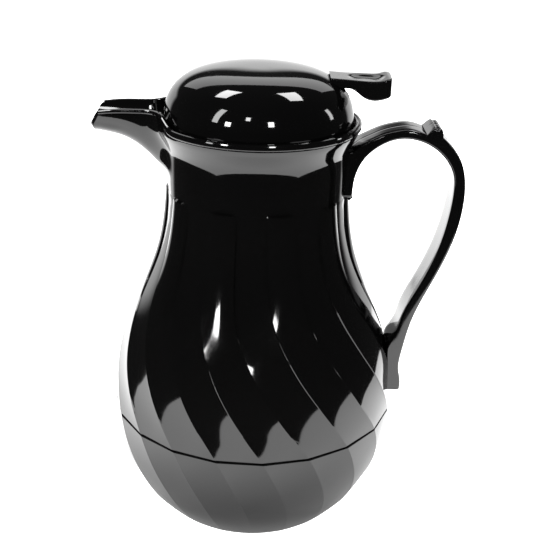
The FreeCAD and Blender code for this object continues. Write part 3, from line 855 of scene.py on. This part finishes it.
cross_rod(lever_shape, 4.5, -ARM_HALF, ARM_HALF, 30.0, 250.0)
rounded_block(lever_shape, (29.0, -9.4, 248.0), (38.2, 9.4, 256.4), 1.0)
for side in (-1, 1):
    y0 = min(side * 3.6, side * 6.8)
    rounded_block(lever_shape, (0.0, y0, 247.8), (30.0, y0 + 3.2, 252.2), 0.6)
    cross_rod(lever_shape, 2.2, y0, y0 + 3.2, 0.0, 250.0)
lever_mesh = bpy.data.meshes.new("thumb_lever_skin")
lever = link_object("thumb_lever_skin", lever_mesh)
lever_black = gloss_plastic("lever_gloss_black", 5.7, 0.07, 0.03)
finish_mesh(lever, lever_shape, 34.0, lever_black)
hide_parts("thumb_lever")
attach(lever, "lever")


# ---- handle ---------------------------------------------------------------
# A 22 wide strap moulded in one piece: tang on the neck, arch with a thumb rest,
# and a long reverse curve down to a foot that hooks over the shell's bracket.
HANDLE_HALF = 11.0


def path_through(points, count):
    """Evenly spaced points on a smooth curve through points of a plane."""
    points = np.array(points, float)
    run = np.concatenate([[0.0], np.cumsum(np.hypot(*np.diff(points, axis=0).T))])
    at = np.linspace(0.0, run[-1], count)
    first = curve_through(list(zip(run, points[:, 0])))
    second = curve_through(list(zip(run, points[:, 1])))
    return list(zip(first(at), second(at)))


arch = [(47.2, 222.6), (49.6, 223.2), (53.5, 226.2), (58.4, 229.0), (66.0, 232.6), (73.7, 234.8),
        (79.8, 235.6), (86.0, 234.6), (89.4, 233.4)]
rest = [(89.4, 233.4), (91.6, 235.8), (93.6, 237.2)]
notch = [(93.6, 237.2), (94.2, 236.6), (94.8, 236.6), (96.4, 236.7), (97.7, 235.6), (98.1, 233.8),
         (98.3, 231.8)]
back = [(98.3, 231.8), (104.4, 225.9), (108.9, 219.2), (111.9, 209.3), (112.6, 198.0), (108.9, 174.1),
        (99.9, 150.1), (89.6, 125.1), (85.2, 105.0), (84.2, 93.0), (85.6, 84.6), (85.4, 80.4)]
inner = [(51.4, 197.4), (51.8, 205.5), (53.5, 212.6), (57.4, 219.7), (65.2, 226.6), (72.3, 229.8),
         (78.9, 230.6), (86.9, 229.2), (94.6, 225.3), (101.2, 219.0), (105.5, 210.6), (106.3, 203.0),
         (105.5, 191.5), (100.6, 168.0), (90.8, 143.8), (83.6, 127.0), (80.6, 117.0), (76.4, 109.0),
         (76.0, 100.0), (76.0, 80.4)]
outer_line = path_through(arch, 50)[:-1] + path_through(rest, 6)[:-1] + path_through(notch, 14)[:-1]
outer_line = outer_line + path_through(back, 130)
inner_line = [(47.2, 197.4)] + path_through(inner, 400)
# points of the strap's outside, each with the point of its inside that faces it
MATCHED = [((47.2, 222.6), (47.2, 197.4)), ((49.6, 223.2), (51.4, 197.8)), ((58.4, 229.0), (57.0, 219.0)),
           ((79.8, 235.6), (78.9, 230.6)), ((98.3, 231.8), (94.0, 225.8)), ((111.9, 209.3), (105.5, 210.6)),
           ((108.9, 174.1), (102.8, 176.0)), ((99.9, 150.1), (93.8, 151.0)), ((89.6, 125.1), (83.4, 126.4)),
           ((85.2, 105.0), (76.4, 109.0)), ((84.2, 93.0), (76.0, 95.0)), ((85.4, 80.4), (76.0, 80.4))]


def run_of(line):
    """Distance along a line at each of its points."""
    steps = np.hypot(*np.diff(np.array(line), axis=0).T)
    return np.concatenate([[0.0], np.cumsum(steps)])


def nearest_run(line, run, point):
    """Distance along the line at its point nearest to the given one."""
    away = np.hypot(*(np.array(line) - np.array(point)).T)
    return run[int(np.argmin(away))]


outer_run, inner_run = run_of(outer_line), run_of(inner_line)
outer_keys = [nearest_run(outer_line, outer_run, a) for a, b in MATCHED]
inner_keys = [nearest_run(inner_line, inner_run, b) for a, b in MATCHED]
partner_run = np.interp(outer_run, outer_keys, inner_keys)
inner_points = np.array(inner_line)
partners = np.stack([np.interp(partner_run, inner_run, inner_points[:, k]) for k in (0, 1)], axis=1)


def strap_section(top, bottom):
    """Closed outline across the strap between a point of its outside and one of its inside."""
    across = Vector((bottom[0] - top[0], 0.0, bottom[1] - top[1]))
    deep = across.length
    across.normalize()
    edge = min(1.5, deep * 0.3)
    flat = HANDLE_HALF - edge
    points = []
    for y in (-flat, -6.0, -1.5, -0.7, 0.0, 0.7, 1.5, 6.0, flat):
        points.append((y, 0.10 if abs(y) < 0.1 else 0.0))
    corner = np.linspace(0.0, pi / 2, 6)[1:]
    points += [(flat + edge * sin(t), edge - edge * cos(t)) for t in corner]
    points += [(flat + edge * cos(t), deep - edge + edge * sin(t)) for t in np.linspace(0.0, pi / 2, 6)]
    points += [(6.0, deep), (0.0, deep), (-6.0, deep)]
    points += [(-flat - edge * sin(t), deep - edge + edge * cos(t)) for t in np.linspace(0.0, pi / 2, 6)]
    points += [(-flat - edge * cos(t), edge - edge * sin(t)) for t in np.linspace(0.0, pi / 2, 6)[:-1]]
    return [(Vector((top[0], y, top[1])) + across * w) * MM for y, w in points]


strap_shape = bmesh.new()
made_rows = add_grid(strap_shape, [strap_section(a, b) for a, b in zip(outer_line, partners)], wrap=True)
strap_shape.faces.new(made_rows[0])
strap_shape.faces.new(made_rows[-1])
strap_mesh = bpy.data.meshes.new("handle_strap")
strap = link_object("handle_strap", strap_mesh)
handle_black = gloss_plastic("handle_gloss_black", 7.9, 0.055, 0.04)
finish_mesh(strap, strap_shape, 34.0, handle_black)
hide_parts("handle")
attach(strap, "server")


# ---- tang clip --------------------------------------------------------------
# A small moulded clip pushed up behind the end of the tang; only its rounded
# bottom shows under the strap, against the neck.
clip_shape = bmesh.new()
rounded_block(clip_shape, (49.2, -5.8, 194.2), (52.1, 5.8, 197.2), 0.9)
tang_clip = link_object("tang_clip_skin", bpy.data.meshes.new("tang_clip_skin"))
finish_mesh(tang_clip, clip_shape, 34.0, gloss_plastic("clip_gloss_black", 9.2, 0.06, 0.03))
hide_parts("handle_tang_clip")
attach(tang_clip, "server")


# ---- parts kept from the frame ---------------------------------------------
# Liner, seals, screws, spring and the valve are right as the frame has them, so
# they only get their own materials: drawn steel, silicone, foam, rubber.
def drawn_steel(name, tone, rough, grain):
    """Bare steel with drawing lines stretched by the grain's three scales."""
    material, nodes, links = new_material(name)
    shader = nodes["Principled BSDF"]
    shader.inputs["Metallic"].default_value = 1.0
    coords = nodes.new("ShaderNodeTexCoord")
    stretch = nodes.new("ShaderNodeMapping")
    stretch.inputs["Scale"].default_value = grain
    links.new(coords.outputs["Object"], stretch.inputs["Vector"])
    lines = nodes.new("ShaderNodeTexNoise")
    lines.inputs["Scale"].default_value = 1.0
    lines.inputs["Detail"].default_value = 4.0
    links.new(stretch.outputs["Vector"], lines.inputs["Vector"])
    ramp = nodes.new("ShaderNodeValToRGB")
    ramp.color_ramp.elements[0].color = (tone * 0.82, tone * 0.82, tone * 0.83, 1.0)
    ramp.color_ramp.elements[1].color = (tone, tone, tone * 0.99, 1.0)
    links.new(lines.outputs["Fac"], ramp.inputs["Fac"])
    links.new(ramp.outputs["Color"], shader.inputs["Base Color"])
    spread = nodes.new("ShaderNodeMapRange")
    spread.inputs["To Min"].default_value = rough
    spread.inputs["To Max"].default_value = rough + 0.15
    links.new(lines.outputs["Fac"], spread.inputs["Value"])
    links.new(spread.outputs["Result"], shader.inputs["Roughness"])
    bump = nodes.new("ShaderNodeBump")
    bump.inputs["Strength"].default_value = 0.15
    bump.inputs["Distance"].default_value = 0.00005
    links.new(lines.outputs["Fac"], bump.inputs["Height"])
    links.new(bump.outputs["Normal"], shader.inputs["Normal"])
    return material


def soft_material(name, dark, light, rough, scale, bump_depth):
    """Foam, rubber, silicone or plain plastic: mottled colour, uneven sheen and a fine bump."""
    material, nodes, links = new_material(name)
    shader = nodes["Principled BSDF"]
    coords = nodes.new("ShaderNodeTexCoord")
    cells = nodes.new("ShaderNodeTexNoise")
    cells.inputs["Scale"].default_value = scale
    cells.inputs["Detail"].default_value = 5.0
    links.new(coords.outputs["Object"], cells.inputs["Vector"])
    ramp = nodes.new("ShaderNodeValToRGB")
    ramp.color_ramp.elements[0].color = (*dark, 1.0)
    ramp.color_ramp.elements[1].color = (*light, 1.0)
    links.new(cells.outputs["Fac"], ramp.inputs["Fac"])
    links.new(ramp.outputs["Color"], shader.inputs["Base Color"])
    spread = nodes.new("ShaderNodeMapRange")
    spread.inputs["To Min"].default_value = rough - 0.08
    spread.inputs["To Max"].default_value = rough + 0.08
    links.new(cells.outputs["Fac"], spread.inputs["Value"])
    links.new(spread.outputs["Result"], shader.inputs["Roughness"])
    bump = nodes.new("ShaderNodeBump")
    bump.inputs["Strength"].default_value = 0.4
    bump.inputs["Distance"].default_value = bump_depth
    links.new(cells.outputs["Fac"], bump.inputs["Height"])
    links.new(bump.outputs["Normal"], shader.inputs["Normal"])
    return material


finishes = {
    "liner": drawn_steel("liner_brushed_steel", 0.62, 0.22, (40.0, 40.0, 2600.0)),
    "steel": drawn_steel("screw_bright_steel", 0.6, 0.18, (900.0, 900.0, 900.0)),
    "foam": soft_material("foam_cream", (0.55, 0.48, 0.33), (0.72, 0.65, 0.5), 0.85, 420.0, 0.0006),
    "silicone": soft_material("seal_silicone", (0.30, 0.30, 0.29), (0.38, 0.38, 0.37), 0.45, 900.0, 0.0001),
    "seal": soft_material("seal_black_rubber", (0.008, 0.008, 0.008), (0.018, 0.018, 0.018), 0.6, 1200.0,
                          0.0001),
    "pad": soft_material("pad_rubber", (0.012, 0.012, 0.012), (0.03, 0.03, 0.03), 0.75, 1500.0, 0.0002),
    "white": soft_material("bush_acetal", (0.62, 0.61, 0.58), (0.72, 0.71, 0.68), 0.35, 700.0, 0.00005),
    "inner": soft_material("plug_satin_black", (0.006, 0.006, 0.006), (0.014, 0.014, 0.014), 0.32, 600.0,
                           0.00008),
    "black": shell_black,
}
kept = {
    "inner_liner": "liner", "liner_neck": "liner", "lid_deck": "inner", "foam_insulation": "foam",
    "liner_gasket": "silicone", "seam_gasket": "seal",
    "neck_collar": "inner", "base_pad": "pad", "fill_plug": "inner", "handle_foot_bracket": "black",
    "handle_screws": "steel", "lid_plug": "inner", "dome_screws": "steel",
    "lid_gasket": "silicone", "lever_pin": "steel", "stem_bush": "white", "valve_stem": "inner",
    "valve_disc": "inner", "valve_seal": "silicone", "spring_cup": "inner", "stem_nut": "inner",
    "valve_spring": "steel",
}
for node, finish in kept.items():
    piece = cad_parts[node]
    piece.data.materials.clear()
    piece.data.materials.append(finishes[finish])
